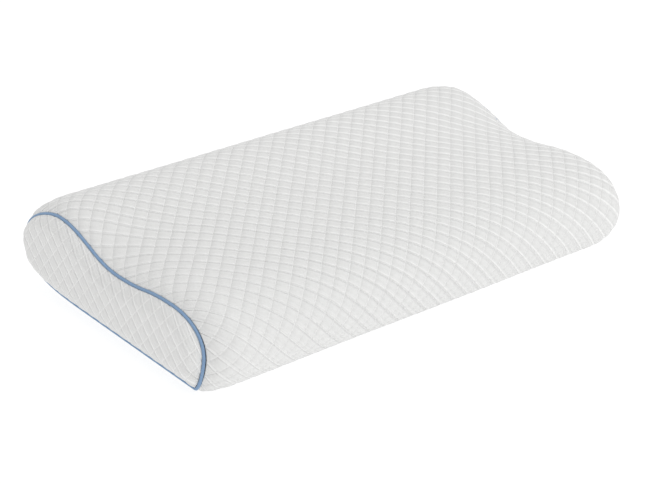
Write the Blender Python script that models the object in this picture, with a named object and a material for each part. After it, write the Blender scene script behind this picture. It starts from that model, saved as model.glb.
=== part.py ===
"""Contour bed pillow, in metres: +X along its length, -Y the low front roll, +Y the high back roll.

The pillow rests on z = 0 with its origin under its centre. A moulded foam core sits in a knitted
liner, inside a quilted cover of four panels. Piping is sewn into the seam round each end panel, and
a coil zip closes the cover low on its back. Every skin is a layer of one body shape: two closed
outlines, one for the middle and one for the end seam, joined by rounded ends and a shallow crown.
The cover spans the hollow between the rolls mid-length and sinks into it towards each end.
"""

import math
from collections import namedtuple

import bmesh
import bpy
import numpy as np

# Overall sizes. The top is DIP high between the rolls near an end and SPAN high there mid-length,
# where it slopes by SPAN_SLOPE; it sinks from one to the other between the two SPAN_SETBACKS,
# which are measured in from an end
LENGTH = 0.600
DEPTH = 0.360
BACK_ROLL = 0.115
FRONT_ROLL = 0.0985
DIP = 0.0905
SPAN = 0.1050
SPAN_SLOPE = 0.055
SPAN_SETBACKS = (0.18, 0.02)
SPAN_POWER = 2.5

# Where the outline turns, from the front or the back edge, and how high each edge stands out most
FRONT_CREST = 0.080
DIP_PLACE = 0.175
BACK_CREST = 0.079
FRONT_BULGE_HEIGHT = 0.049
BACK_BULGE_HEIGHT = 0.057
FRONT_FOOT = 0.042
BACK_FOOT = 0.112

# Rounded ends: the wrap curves in to the seam, and the end panel crowns out past it
END_ROUND = 0.0335
END_ANGLE = 0.974
CROWN = 0.0125
CROWN_RUN = 0.014
CROWN_POWER = 2.0
SEAM_INSET_FRONT = 0.0265
SEAM_INSET_TOP = 0.0135
SEAM_INSET_BACK = 0.0092
SEAM_LIFT = 0.0080
SEAM_FOOT = 0.0146
CROWN_MIDLINE = 0.052
CROWN_REACH = 0.9

# Layers, from the outside in
COVER = 0.0032
LINER = 0.0008
CLEARANCE = 0.0003
CORE_GAP = 0.0015
EDGE_WEAR = 0.0002

# Piping
PIPE_CORD_RADIUS = 0.0010
PIPE_CLOTH = 0.0004
PIPE_FLANGE = 0.0042
PIPE_STAND = -0.0007
PIPE_MARGIN = 0.0007

# Zip
ZIP_HEIGHT = 0.026
ZIP_LENGTH = 0.460
ZIP_TAPE_WIDTH = 0.0120
ZIP_TAPE = 0.0005
ZIP_TAPE_GAP = 0.0012
ZIP_TAPE_OVERRUN = 0.008
ZIP_OPENING = 0.0062
ZIP_CLOSING_RUN = 0.014
COIL_WIDTH = 0.0024
COIL_HEIGHT = 0.0019
SLIDER_LENGTH = 0.0105
SLIDER_NOSE = 0.0092
SLIDER_TAIL = 0.0074
SLIDER_PLATE = 0.0010
SLIDER_BACK_PLATE = 0.0006
SLIDER_PLAY = 0.0005
POST_LENGTH = 0.0026
POST_WIDTH = 0.0014
POST_SET_BACK = 0.0005
STOP_LENGTH = 0.0022
BAIL_LENGTH = 0.0068
BAIL_WIDTH = 0.0016
BAIL_BAR = 0.0008
BAIL_SPACE = 0.0017
PULL_LENGTH = 0.0260
PULL_WIDTH = 0.0064
PULL_THICKNESS = 0.0009
PULL_EYE_WALL = 0.0013

# Label in the back of the right end seam
LABEL_HEIGHT = 0.024
LABEL_RAISED = 0.010
LABEL_CLOTH = 0.0005
LABEL_PLACE = 4.9

# Places that follow from the sizes above
ROUND_START = LENGTH / 2 - CROWN - END_ROUND
SEAM_X = LENGTH / 2 - CROWN
PIPE_RADIUS = PIPE_CORD_RADIUS + CLEARANCE + PIPE_CLOTH
PIPE_SPACE = PIPE_RADIUS + PIPE_MARGIN
TAPE_TOP = COVER + CLEARANCE
SLIDER_BACK_TOP = TAPE_TOP + ZIP_TAPE + SLIDER_PLAY
LINER_TOP = SLIDER_BACK_TOP + SLIDER_BACK_PLATE + SLIDER_PLAY
CORE_TOP = LINER_TOP + LINER + CORE_GAP
COIL_TOP = TAPE_TOP - CLEARANCE - COIL_HEIGHT
SLIDER_FACE = COIL_TOP - SLIDER_PLAY - SLIDER_PLATE
STOP_X = ZIP_LENGTH / 2
SLIDER_CLOSED_X = STOP_X - STOP_LENGTH - CLEARANCE - SLIDER_LENGTH / 2
POST_START = SLIDER_CLOSED_X + SLIDER_LENGTH / 2 - POST_LENGTH
PULL_PIVOT = SLIDER_FACE - BAIL_SPACE / 2

# The outline's seven stretches: how finely each is cut, and how far its curve handles reach
STRETCHES = (5, 6, 4, 5, 6, 6, 3)
HANDLES = ((0.38, 0.35), (0.61, 0.61), (0.51, 0.51), (0.41, 0.41), (0.30, 0.56), (0.76, 0.85))
FRONT_SEAM = 6.93
BACK_BULGE = 5.0
TURN = len(STRETCHES)
LEAST_STEP = 0.01
LEAST_NORMAL_STEP = 0.02
HALVINGS = 40

# Where the body, its ends and the small pieces are cut, as shares of the shape that each follows
STRAIGHT_CUTS = tuple(LENGTH / 2 - setback for setback in (0.095, 0.135, 0.18))
ROUND_SHARES = (0.7, 0.4, 0.0)
CROWN_SHARES = (0.45, 1.0)
LINER_SEAM = (0.88, 0.91)
LABEL_SHARES = (0.3, 0.5, 0.7)
LABEL_CUTS = 6
ZIP_CUT = 0.0031
ZIP_CUTS = 4
PIPE_SIDES = 8
PIPE_BORE_SIDES = 6
CORD_SIDES = 6
SHARP_ANGLE = math.radians(40)
SLIDER_SHOULDERS = (0.35, 0.8)
PULL_TAPER = 0.8
PULL_CORNER = (0.95, 0.4)

MATERIALS = {
    "memory_foam": ((0.90, 0.86, 0.72), 0.95, 0.0),
    "liner_knit": ((0.86, 0.86, 0.84), 0.9, 0.0),
    "quilted_knit": ((0.90, 0.90, 0.89), 0.9, 0.0),
    "piping_cloth": ((0.16, 0.31, 0.50), 0.7, 0.0),
    "cotton_cord": ((0.85, 0.84, 0.80), 0.9, 0.0),
    "zip_tape": ((0.88, 0.88, 0.88), 0.8, 0.0),
    "zip_coil": ((0.86, 0.86, 0.87), 0.35, 0.0),
    "zip_metal": ((0.72, 0.73, 0.75), 0.3, 1.0),
    "label_satin": ((0.93, 0.93, 0.92), 0.5, 0.0),
}


def clear_scene():
    for item in list(bpy.data.objects):
        bpy.data.objects.remove(item, do_unlink=True)


def material(name):
    """The named material, made the first time that it is asked for."""
    made = bpy.data.materials.get(name)
    if made is None:
        colour, roughness, metallic = MATERIALS[name]
        made = bpy.data.materials.new(name)
        made.use_nodes = True
        shader = made.node_tree.nodes["Principled BSDF"]
        shader.inputs["Base Color"].default_value = (*colour, 1.0)
        shader.inputs["Roughness"].default_value = roughness
        shader.inputs["Metallic"].default_value = metallic
    return made


def make_object(name, points, faces, finish):
    """One closed solid, with its faces turned outwards and shaded smooth away from sharp edges."""
    mesh = bpy.data.meshes.new(name)
    mesh.from_pydata([tuple(point) for point in points], [], faces)
    work = bmesh.new()
    work.from_mesh(mesh)
    bmesh.ops.recalc_face_normals(work, faces=work.faces)
    work.to_mesh(mesh)
    work.free()
    mesh.materials.append(material(finish))
    mesh.shade_smooth()
    mesh.set_sharp_from_angle(angle=SHARP_ANGLE)
    made = bpy.data.objects.new(name, mesh)
    bpy.context.scene.collection.objects.link(made)
    return made


# ---- the body's outline -------------------------------------------------------------------------


def dip_share(x):
    """How far the top has sunk into the hollow at this distance from the middle, from 0 to 1."""
    start, whole = (LENGTH / 2 - setback for setback in SPAN_SETBACKS)
    return min(max((x - start) / (whole - start), 0.0), 1.0) ** SPAN_POWER


def outline_corners(inset, dip):
    """The outline's turning points and directions. inset runs from 0, the wrap, to 1, the seam,
    and dip from 0, where the cover spans the hollow, to 1, where it follows it."""
    front = -DEPTH / 2 + inset * SEAM_INSET_FRONT
    back = DEPTH / 2 - inset * SEAM_INSET_BACK
    drop = inset * SEAM_INSET_TOP
    floor = inset * SEAM_LIFT
    front_foot = FRONT_FOOT + inset * (SEAM_FOOT - FRONT_FOOT)
    corners = np.array([
        (front + front_foot, floor),
        (front, FRONT_BULGE_HEIGHT),
        (-DEPTH / 2 + FRONT_CREST, FRONT_ROLL - drop),
        (-DEPTH / 2 + DIP_PLACE, SPAN + (DIP - SPAN) * dip - drop),
        (DEPTH / 2 - BACK_CREST, BACK_ROLL - drop),
        (back, BACK_BULGE_HEIGHT),
        (DEPTH / 2 - BACK_FOOT, floor),
    ])
    slope = SPAN_SLOPE * (1 - dip)
    ways = np.array([(-1, 0), (0, 1), (1, slope), (1, slope), (1, 0), (0, -1), (-1, 0)], float)
    return corners, ways


def outline(places, inset, dip=1.0):
    """Outline points (y, z) at places from 0 to 7, one whole number to each turning point."""
    corners, ways = outline_corners(inset, dip)
    places = np.asarray(places, float) % TURN
    found = np.empty((len(places), 2))
    for row, place in enumerate(places):
        stretch = int(place)
        share = place - stretch
        start, end = corners[stretch], corners[(stretch + 1) % TURN]
        if stretch == TURN - 1:
            found[row] = start + (end - start) * share
            continue
        span = np.abs(end - start)
        reach_out, reach_in = HANDLES[stretch]
        first = start + ways[stretch] * reach_out * (span @ np.abs(ways[stretch]))
        second = end - ways[stretch + 1] * reach_in * (span @ np.abs(ways[stretch + 1]))
        rest = 1 - share
        found[row] = (
            rest**3 * start
            + 3 * rest**2 * share * first
            + 3 * rest * share**2 * second
            + share**3 * end
        )
    return found


def outward(places, inset, dip=1.0):
    """Unit normals (y, z) of the outline, pointing out of the pillow."""
    step = LEAST_NORMAL_STEP
    places = np.asarray(places)
    along = outline(places + step, inset, dip) - outline(places - step, inset, dip)
    along /= np.linalg.norm(along, axis=1)[:, None]
    return np.column_stack([-along[:, 1], along[:, 0]])


def all_round():
    """The places that cut the whole outline, closer together along the zip."""
    even = np.concatenate([
        stretch + np.arange(count) / count for stretch, count in enumerate(STRETCHES)
    ])
    middle = zip_place()
    reach = place_step(middle, ZIP_TAPE_WIDTH + ZIP_CUT)
    fine = middle + place_step(middle, ZIP_CUT) * np.arange(-ZIP_CUTS, ZIP_CUTS + 1)
    return np.sort(np.concatenate([even[np.abs(even - middle) > reach], fine]))


def places_between(first, last):
    """The places from first to last, with both ends, going round past the start if need be."""
    grid = all_round()
    grid = np.concatenate([grid, grid + TURN])
    inner = grid[(grid > first + LEAST_STEP) & (grid < last - LEAST_STEP)]
    return np.concatenate([[first], inner, [last]])


def place_step(place, distance):
    """How far a place moves for a distance along the mid-length outline."""
    step = LEAST_STEP
    ends = outline([place - step, place + step], 0)
    return distance * 2 * step / np.linalg.norm(ends[1] - ends[0])


def zip_place():
    """The place low on the back where the outline passes the zip's height."""
    low, high = BACK_BULGE, BACK_BULGE + 1
    for _ in range(HALVINGS):
        middle = (low + high) / 2
        if outline([middle], 0)[0, 1] > ZIP_HEIGHT:
            low = middle
        else:
            high = middle
    return low


# ---- stations along the length -------------------------------------------------------------------


Station = namedtuple("Station", "x inset crown_run rise_by_inset rise along")
Station.__doc__ = """A cross-section: its x, how far it has turned from the middle outline into the seam's,
how far the crown has run in past the seam, and the surface's slope there (rise over along)."""


def straight_station(x):
    return Station(x, 0.0, 0.0, 0.0, 0.0, 1.0)


def round_station(share):
    """A station on the rounded end of the wrap, from 0, where it starts, to 1, the seam."""
    angle = share * END_ANGLE
    whole = 1 - math.cos(END_ANGLE)
    return Station(
        x=ROUND_START + END_ROUND * math.sin(angle) / math.sin(END_ANGLE),
        inset=(1 - math.cos(angle)) / whole,
        crown_run=0.0,
        rise_by_inset=math.sin(angle) / whole,
        rise=0.0,
        along=END_ROUND * math.cos(angle) / math.sin(END_ANGLE),
    )


def crown_station(share):
    """A station on the end panel, from 0, the seam, to 1, its flat middle."""
    return Station(
        x=SEAM_X + CROWN * (1 - (1 - share) ** CROWN_POWER),
        inset=1.0,
        crown_run=share * CROWN_RUN,
        rise_by_inset=0.0,
        rise=CROWN_RUN,
        along=CROWN * CROWN_POWER * (1 - share) ** (CROWN_POWER - 1),
    )


def tilts(places, station):
    """How far the surface's normal leans from the cross-section towards the pillow's end."""
    wrap = outline(places, 0, dip_share(station.x))
    inset = np.linalg.norm(outline(places, 1) - wrap, axis=1)
    return np.arctan2(inset * station.rise_by_inset + station.rise, station.along)


def seam_gap_round():
    """The share of the rounded end that leaves room for the piping."""
    inward = 1 - math.cos(END_ANGLE)
    across = SEAM_INSET_TOP * math.sin(END_ANGLE) / inward
    along = END_ROUND / math.tan(END_ANGLE)
    return PIPE_SPACE / (END_ANGLE * math.hypot(across, along))


def seam_gap_crown():
    """The share of the crown that leaves room for the piping."""
    return PIPE_SPACE / math.hypot(CROWN_RUN, CROWN * CROWN_POWER)


def midline(places):
    """For each place, the point on the end panel's middle line that its crown runs towards."""
    seam = outline(places, 1)
    across = np.clip(seam[:, 0], -DEPTH / 2 + CROWN_MIDLINE, DEPTH / 2 - CROWN_MIDLINE)
    top = outline(places_between(1, BACK_BULGE), 1)
    return np.column_stack([across, np.interp(across, top[:, 0], top[:, 1]) / 2])


def ring(places, station, side, depth):
    """Points at a station of the end named by side (+1 or -1), a depth below the outer surface."""
    dip = dip_share(station.x)
    flat = outline(places, 0, dip) * (1 - station.inset) + outline(places, 1) * station.inset
    if station.crown_run:
        toward = midline(places) - flat
        reach = np.linalg.norm(toward, axis=1)[:, None]
        flat = flat + toward / reach * np.minimum(station.crown_run, CROWN_REACH * reach)
    tilt = tilts(places, station)
    flat = flat - outward(places, station.inset, dip) * (depth * np.cos(tilt))[:, None]
    return np.column_stack([side * (station.x - depth * np.sin(tilt)), flat])


# ---- closed solids from rows of points ------------------------------------------------------------


def row_faces(first, second, closed):
    """Quads between two rows of point numbers."""
    count = len(first)
    last = count if closed else count - 1
    return [
        (first[i], first[(i + 1) % count], second[(i + 1) % count], second[i])
        for i in range(last)
    ]


def numbered(rows):
    """Point numbers for rows that are stacked one after another."""
    starts = np.cumsum([0] + [len(row) for row in rows])
    return [list(range(starts[i], starts[i + 1])) for i in range(len(rows))]


def skin(name, outer, inner, finish, closed):
    """A sheet between two sets of rows: a tube where closed, else a patch with four edges."""
    rows = outer + inner[::-1]
    numbers = numbered(rows)
    faces = []
    for row in range(len(rows)):
        faces += row_faces(numbers[row], numbers[(row + 1) % len(rows)], closed)
    if not closed:
        for edge in (0, -1):
            loop = [row[edge] for row in numbers]
            pairs = list(zip(loop[: len(outer)], loop[: len(outer) - 1 : -1]))
            for (a, b), (c, d) in zip(pairs, pairs[1:]):
                faces.append((a, c, d, b))
    return make_object(name, np.concatenate(rows), faces, finish)


def capped(name, rows, finish):
    """A solid through closed rows, with a flat face over the first and the last."""
    numbers = numbered(rows)
    faces = [tuple(numbers[0]), tuple(numbers[-1])]
    for first, second in zip(numbers, numbers[1:]):
        faces += row_faces(first, second, True)
    return make_object(name, np.concatenate(rows), faces, finish)


def swept(name, side, section, finish):
    """A section carried round one end seam; its points are (along the surface, out of it)."""
    places = all_round()
    base = ring(places, round_station(1), side, 0)
    normal = outward(places, 1)
    tilt = (tilts(places, round_station(1)) + tilts(places, crown_station(0))) / 2
    sine, cosine = np.sin(tilt)[:, None], np.cos(tilt)[:, None]
    out = np.hstack([side * sine, normal * cosine])
    along = np.hstack([side * cosine, -normal * sine])
    rows = [base + along * p + out * q for p, q in section]
    numbers = numbered(rows)
    faces = []
    for row in range(len(rows)):
        faces += row_faces(numbers[row], numbers[(row + 1) % len(rows)], True)
    return make_object(name, np.concatenate(rows), faces, finish)


def prism(name, corners, bottom, top, finish):
    """An outline in the local XY plane, extruded from one height to the other."""
    count = len(corners)
    points = [(x, y, z) for z in (bottom, top) for x, y in corners]
    sides = row_faces(list(range(count)), list(range(count, 2 * count)), True)
    faces = [tuple(range(count)), tuple(range(count, 2 * count)), *sides]
    return make_object(name, points, faces, finish)


def rectangle(left, right, half_width):
    return [(left, -half_width), (right, -half_width), (right, half_width), (left, half_width)]


def join(target, helper):
    """Unite a helper solid with the target, and leave it out of the object."""
    helper.hide_render = True
    helper.display_type = "WIRE"
    union = target.modifiers.new(helper.name, "BOOLEAN")
    union.operation = "UNION"
    union.object = helper


def soften(target, width):
    bevel = target.modifiers.new("worn_edges", "BEVEL")
    bevel.width = width
    bevel.segments = 2
    bevel.limit_method = "ANGLE"


# ---- sub-parts ------------------------------------------------------------------------------------


def wrap_stations():
    """(station, side) from the left seam to the right one, leaving room for the piping."""
    edge = 1 - seam_gap_round()
    rounded = [round_station(share) for share in (edge,) + ROUND_SHARES]
    zip_end = ZIP_LENGTH / 2 + CLEARANCE
    straight = [straight_station(min(zip_end + ZIP_CLOSING_RUN, ROUND_START - CLEARANCE))]
    straight.append(straight_station(zip_end))
    straight += [straight_station(x) for x in STRAIGHT_CUTS]
    left = [(station, -1) for station in rounded + straight]
    right = [(station, 1) for station in (rounded + straight)[::-1]]
    return left + [(straight_station(0.0), 1)] + right


def opening_half_width(x):
    """Half the gap between the two panels: room for the zip, then closed up beyond its ends."""
    if abs(x) <= ZIP_LENGTH / 2 + 2 * CLEARANCE:
        return ZIP_OPENING
    return CLEARANCE


def wrap_panel(name, first, last, zip_edge):
    """A panel of the wrap between two places; zip_edge is 0 or -1, the edge along the zip."""
    outer, inner = [], []
    middle = zip_place()
    away = 1 if zip_edge == 0 else -1
    widest = away * place_step(middle, ZIP_OPENING)
    places = places_between(first + widest * (away > 0), last + widest * (away < 0))
    closed_place = places[zip_edge] - widest
    for station, side in wrap_stations():
        half = place_step(middle, opening_half_width(station.x))
        places[zip_edge] = closed_place + away * half
        outer.append(ring(places, station, side, 0))
        inner.append(ring(places, station, side, COVER))
    return skin(name, outer, inner, "quilted_knit", False)


def cover_wrap():
    seam_gap = place_step(FRONT_SEAM, CLEARANCE)
    wrap_panel("cover_top_panel", FRONT_SEAM - TURN, zip_place(), -1)
    wrap_panel("cover_base_panel", zip_place(), FRONT_SEAM - seam_gap, 0)


def dish(name, side, stations, top, thickness, finish):
    """An end cloth: rings from its sewn edge to its flat middle, on both its faces."""
    places = all_round()
    outer = [ring(places, station, side, top) for station in stations]
    inner = [ring(places, station, side, top + thickness) for station in stations]
    return capped(name, outer[::-1] + inner, finish)


def end_panel(name, side):
    stations = [crown_station(share) for share in (seam_gap_crown(),) + CROWN_SHARES]
    dish(name, side, stations, 0, COVER, "quilted_knit")


def liner():
    places = all_round()
    edge = [round_station(share) for share in LINER_SEAM[:1] + ROUND_SHARES]
    edge += [straight_station(x) for x in STRAIGHT_CUTS]
    run = [(s, -1) for s in edge] + [(s, 1) for s in edge[::-1]]
    outer = [ring(places, station, side, LINER_TOP) for station, side in run]
    inner = [ring(places, station, side, LINER_TOP + LINER) for station, side in run]
    skin("liner_sleeve", outer, inner, "liner_knit", True)
    stations = [round_station(share) for share in (LINER_SEAM[1], 1.0)]
    stations += [crown_station(share) for share in CROWN_SHARES]
    for name, side in (("liner_end_left", -1), ("liner_end_right", 1)):
        dish(name, side, stations, LINER_TOP, LINER, "liner_knit")


def foam_core():
    places = all_round()
    end = [crown_station(share) for share in CROWN_SHARES[::-1]]
    end += [round_station(share) for share in (1.0, LINER_SEAM[0]) + ROUND_SHARES]
    end += [straight_station(x) for x in STRAIGHT_CUTS]
    run = [(s, -1) for s in end] + [(s, 1) for s in end[::-1]]
    capped("foam_core", [ring(places, s, side, CORE_TOP) for s, side in run], "memory_foam")


def arc(radius, first, last, count, centre):
    """Points on an arc about (0, centre), with angles from straight out of the surface."""
    angles = [first + (last - first) * i / (count - 1) for i in range(count)]
    return [(radius * math.sin(a), centre + radius * math.cos(a)) for a in angles]


def piping(tape_name, cord_name, side):
    """A cord in a folded bias tape, whose two edges go into the seam side by side."""
    slot = CLEARANCE
    leaf = slot + PIPE_CLOTH
    outer_turn = math.pi - math.asin(leaf / PIPE_RADIUS)
    inner_radius = PIPE_RADIUS - PIPE_CLOTH
    inner_turn = math.pi - math.asin(slot / inner_radius)
    section = arc(PIPE_RADIUS, -outer_turn, outer_turn, PIPE_SIDES, PIPE_STAND)
    section += [(leaf, -PIPE_FLANGE), (slot, -PIPE_FLANGE)]
    section += arc(inner_radius, inner_turn, -inner_turn, PIPE_BORE_SIDES, PIPE_STAND)
    section += [(-slot, -PIPE_FLANGE), (-leaf, -PIPE_FLANGE)]
    swept(tape_name, side, section, "piping_cloth")
    last = 2 * math.pi * (1 - 1 / CORD_SIDES)
    cord = arc(PIPE_CORD_RADIUS, 0, last, CORD_SIDES, PIPE_STAND)
    swept(cord_name, side, cord, "cotton_cord")


def strip(name, near, far, top, thickness, left, right, finish):
    """A strip along the zip between two distances below its middle line (above it if negative)."""
    middle = zip_place()
    start, end = sorted((middle + place_step(middle, near), middle + place_step(middle, far)))
    places = places_between(start, end)
    ends = [(straight_station(x), 1) for x in (left, right)]
    outer = [ring(places, station, side, top) for station, side in ends]
    inner = [ring(places, station, side, top + thickness) for station, side in ends]
    return skin(name, outer, inner, finish, False)


def zip_tapes_and_coils():
    tape_end = STOP_X + ZIP_TAPE_OVERRUN
    coil_start = -STOP_X + STOP_LENGTH + CLEARANCE
    coil_end = POST_START - CLEARANCE
    for side, place in ((-1, "upper"), (1, "lower")):
        strip(f"zip_tape_{place}", side * ZIP_TAPE_GAP, side * ZIP_TAPE_WIDTH, TAPE_TOP, ZIP_TAPE,
              -tape_end, tape_end, "zip_tape")
        strip(f"zip_coil_{place}", side * CLEARANCE / 2, side * COIL_WIDTH, COIL_TOP, COIL_HEIGHT,
              coil_start, coil_end, "zip_coil")
    for name, left in (("zip_stop_closed_end", STOP_X - STOP_LENGTH), ("zip_stop_open_end", -STOP_X)):
        strip(name, -COIL_WIDTH, COIL_WIDTH, COIL_TOP, COIL_HEIGHT, left, left + STOP_LENGTH,
              "zip_metal")


def zip_frame(target, x, depth):
    """Place a piece on the zip: local X along it, local Z out of the pillow."""
    middle = zip_place()
    out = outward([middle], 0)[0]
    target.location = (x, *(outline([middle], 0)[0] - out * depth))
    target.rotation_euler = (math.atan2(-out[0], out[1]), 0, 0)


def zip_slider():
    """Front and back plates joined by the post that parts the coils, with a bail for the pull."""
    half = SLIDER_LENGTH / 2
    near, far = (half * share for share in SLIDER_SHOULDERS)
    shield = [
        (-half, -SLIDER_TAIL / 2),
        (near, -SLIDER_NOSE / 2),
        (far, -SLIDER_NOSE / 2),
        (half, -SLIDER_NOSE / 3),
        (half, SLIDER_NOSE / 3),
        (far, SLIDER_NOSE / 2),
        (near, SLIDER_NOSE / 2),
        (-half, SLIDER_TAIL / 2),
    ]
    front = -SLIDER_FACE
    back = -SLIDER_BACK_TOP
    slider = prism("zip_slider", shield, front - SLIDER_PLATE, front, "zip_metal")
    soften(slider, EDGE_WEAR)
    back_plate = prism("slider_back_plate", shield, back - SLIDER_BACK_PLATE, back, "zip_metal")
    post = prism("slider_post", rectangle(half - POST_LENGTH, half - POST_SET_BACK, POST_WIDTH / 2),
                 back - SLIDER_BACK_PLATE / 2, front - SLIDER_PLATE / 2, "zip_metal")
    bail_top = front + BAIL_SPACE + BAIL_BAR
    bail = prism("slider_bail", rectangle(-BAIL_LENGTH / 2, BAIL_LENGTH / 2, BAIL_WIDTH / 2),
                 front - SLIDER_PLATE / 2, bail_top, "zip_metal")
    inside = BAIL_LENGTH / 2 - BAIL_BAR
    window = prism("bail_window", rectangle(-inside, inside, BAIL_WIDTH), front,
                   front + BAIL_SPACE, "zip_metal")
    window.hide_render = True
    window.display_type = "WIRE"
    cut = bail.modifiers.new("bail_window", "BOOLEAN")
    cut.operation = "DIFFERENCE"
    cut.object = window
    for piece in (slider, back_plate, post, bail, window):
        zip_frame(piece, SLIDER_CLOSED_X, 0)
    for helper in (back_plate, post, bail):
        join(slider, helper)


def zip_pull():
    """A flat tab whose eye bar turns under the bail; its origin is on that bar's axis."""
    bar = PULL_THICKNESS / 2
    eye = BAIL_LENGTH / 2 + BAIL_BAR
    half = PULL_WIDTH / 2
    neck = BAIL_WIDTH / 2 + CLEARANCE + PULL_EYE_WALL
    length = PULL_LENGTH
    corner, tip = PULL_CORNER
    edge = [
        (bar, neck),
        (-eye, neck),
        (-eye - 2 * PULL_EYE_WALL, half * PULL_TAPER),
        (-length * PULL_TAPER, half),
        (-length * corner, half * PULL_TAPER),
        (-length, half * tip),
    ]
    tab = edge + [(x, -y) for x, y in edge[::-1]]
    pull = prism("zip_pull", tab, -PULL_THICKNESS / 2, PULL_THICKNESS / 2, "zip_metal")
    hole = prism("pull_eye", rectangle(-eye, -bar, BAIL_WIDTH / 2 + CLEARANCE),
                 -PULL_THICKNESS, PULL_THICKNESS, "zip_metal")
    hole.hide_render = True
    hole.display_type = "WIRE"
    cut = pull.modifiers.new("pull_eye", "BOOLEAN")
    cut.operation = "DIFFERENCE"
    cut.object = hole
    for piece in (pull, hole):
        zip_frame(piece, SLIDER_CLOSED_X, PULL_PIVOT)


def care_label():
    """A blank label that comes out of the right seam and lies on the back of the wrap."""
    low = BACK_BULGE - place_step(LABEL_PLACE, LABEL_RAISED)
    places = np.linspace(low - place_step(LABEL_PLACE, LABEL_HEIGHT), low, LABEL_CUTS)
    run = [(round_station(share), 1) for share in LABEL_SHARES + (1 - seam_gap_round(),)]
    top = [ring(places, station, side, -CLEARANCE - LABEL_CLOTH) for station, side in run]
    back = [ring(places, station, side, -CLEARANCE) for station, side in run]
    skin("care_label", top, back, "label_satin", False)


def main():
    clear_scene()
    foam_core()
    liner()
    cover_wrap()
    end_panel("end_panel_left", -1)
    end_panel("end_panel_right", 1)
    piping("piping_tape_left", "piping_cord_left", -1)
    piping("piping_tape_right", "piping_cord_right", 1)
    zip_tapes_and_coils()
    zip_slider()
    zip_pull()
    care_label()


main()
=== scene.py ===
"""Contour bed pillow: a quilted zip-off cover over a memory-foam core, laid on a pale studio floor.

Every skin follows one body shape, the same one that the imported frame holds: two closed outlines,
one for the wrap and one for the end seam. The cloth pieces are cut on that shape by arc length, so
the quilting runs over them as it runs over real cloth.
"""

import logging
import math
from dataclasses import dataclass
from enum import Enum
from typing import Sequence

import bpy
import numpy as np
from mathutils import Matrix, Vector


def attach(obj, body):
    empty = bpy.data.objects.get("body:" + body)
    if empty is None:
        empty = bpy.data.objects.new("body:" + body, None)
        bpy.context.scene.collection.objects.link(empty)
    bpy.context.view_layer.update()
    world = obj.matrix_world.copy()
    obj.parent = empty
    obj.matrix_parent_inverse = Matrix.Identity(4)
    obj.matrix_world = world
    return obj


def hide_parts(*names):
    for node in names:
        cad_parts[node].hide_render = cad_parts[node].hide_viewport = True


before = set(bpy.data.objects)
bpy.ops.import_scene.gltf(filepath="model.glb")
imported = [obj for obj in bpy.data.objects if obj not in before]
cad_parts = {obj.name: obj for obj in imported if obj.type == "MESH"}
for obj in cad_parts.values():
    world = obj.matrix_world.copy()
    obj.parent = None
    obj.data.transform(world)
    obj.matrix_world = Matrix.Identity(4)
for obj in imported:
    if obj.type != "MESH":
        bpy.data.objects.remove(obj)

LOG = logging.getLogger("pillow")
MM = 0.001
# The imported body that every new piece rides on. The slider and the pull keep their own solids.
PILLOW = "pillow"
# The outline has this many turning points, and a place on it counts from each one to the next.
LAP = 7


class End(Enum):
    """The pillow's two ends, by the sign of x."""

    LEFT = -1
    RIGHT = 1

    @property
    def word(self) -> str:
        """The end's name as the nodes spell it."""
        return self.name.lower()


# ---- small tools ---------------------------------------------------------------------------------


def linear(colour: str) -> tuple[float, float, float, float]:
    """Turn an sRGB hex colour into the linear colour that a shader takes.

    Args:
        colour: the colour as "#RRGGBB".

    Returns:
        Red, green, blue and an alpha of 1.
    """
    shares = [int(colour[i : i + 2], 16) / 255 for i in (1, 3, 5)]
    red, green, blue = (
        s / 12.92 if s <= 0.04045 else ((s + 0.055) / 1.055) ** 2.4 for s in shares
    )
    return red, green, blue, 1.0


def add(
    tree: bpy.types.NodeTree,
    kind: str,
    settings: dict[str | int, object] | None = None,
    links: dict[str | int, bpy.types.NodeSocket] | None = None,
) -> bpy.types.Node:
    """Add a node to a tree, set it and link what feeds it.

    Args:
        tree: the material's node tree.
        kind: the node's Blender type.
        settings: the node's own settings and its inputs' constants, by name or number.
        links: the output socket that feeds each input, by the input's name or number.

    Returns:
        The new node.
    """
    node = tree.nodes.new(kind)
    for key, value in (settings or {}).items():
        if isinstance(key, str) and hasattr(node, key):
            setattr(node, key, value)
        else:
            node.inputs[key].default_value = value
    for key, socket in (links or {}).items():
        tree.links.new(socket, node.inputs[key])
    return node


def calc(
    tree: bpy.types.NodeTree, operation: str, *values: float | bpy.types.NodeSocket
) -> bpy.types.NodeSocket:
    """Add a Math node.

    Args:
        tree: the material's node tree.
        operation: what it does, by Blender's name.
        values: its inputs in order, each a constant or the socket that feeds it.

    Returns:
        The socket of its result.
    """
    fed = {n: value for n, value in enumerate(values) if isinstance(value, bpy.types.NodeSocket)}
    constants = {n: value for n, value in enumerate(values) if n not in fed}
    return add(tree, "ShaderNodeMath", {"operation": operation, **constants}, fed).outputs[0]


def ramp(
    tree: bpy.types.NodeTree, value: bpy.types.NodeSocket, start: tuple[float, float],
    end: tuple[float, float], kind: str = "LINEAR",
) -> bpy.types.NodeSocket:
    """Add a Map Range node.

    Args:
        tree: the material's node tree.
        value: the socket that feeds it.
        start: a value, and what it becomes.
        end: another value, and what that becomes.
        kind: how it goes from one to the other, by Blender's name.

    Returns:
        The socket of its result.
    """
    settings = {"interpolation_type": kind, "From Min": start[0], "From Max": end[0],
                "To Min": start[1], "To Max": end[1]}
    return add(tree, "ShaderNodeMapRange", settings, {"Value": value}).outputs["Result"]


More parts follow.
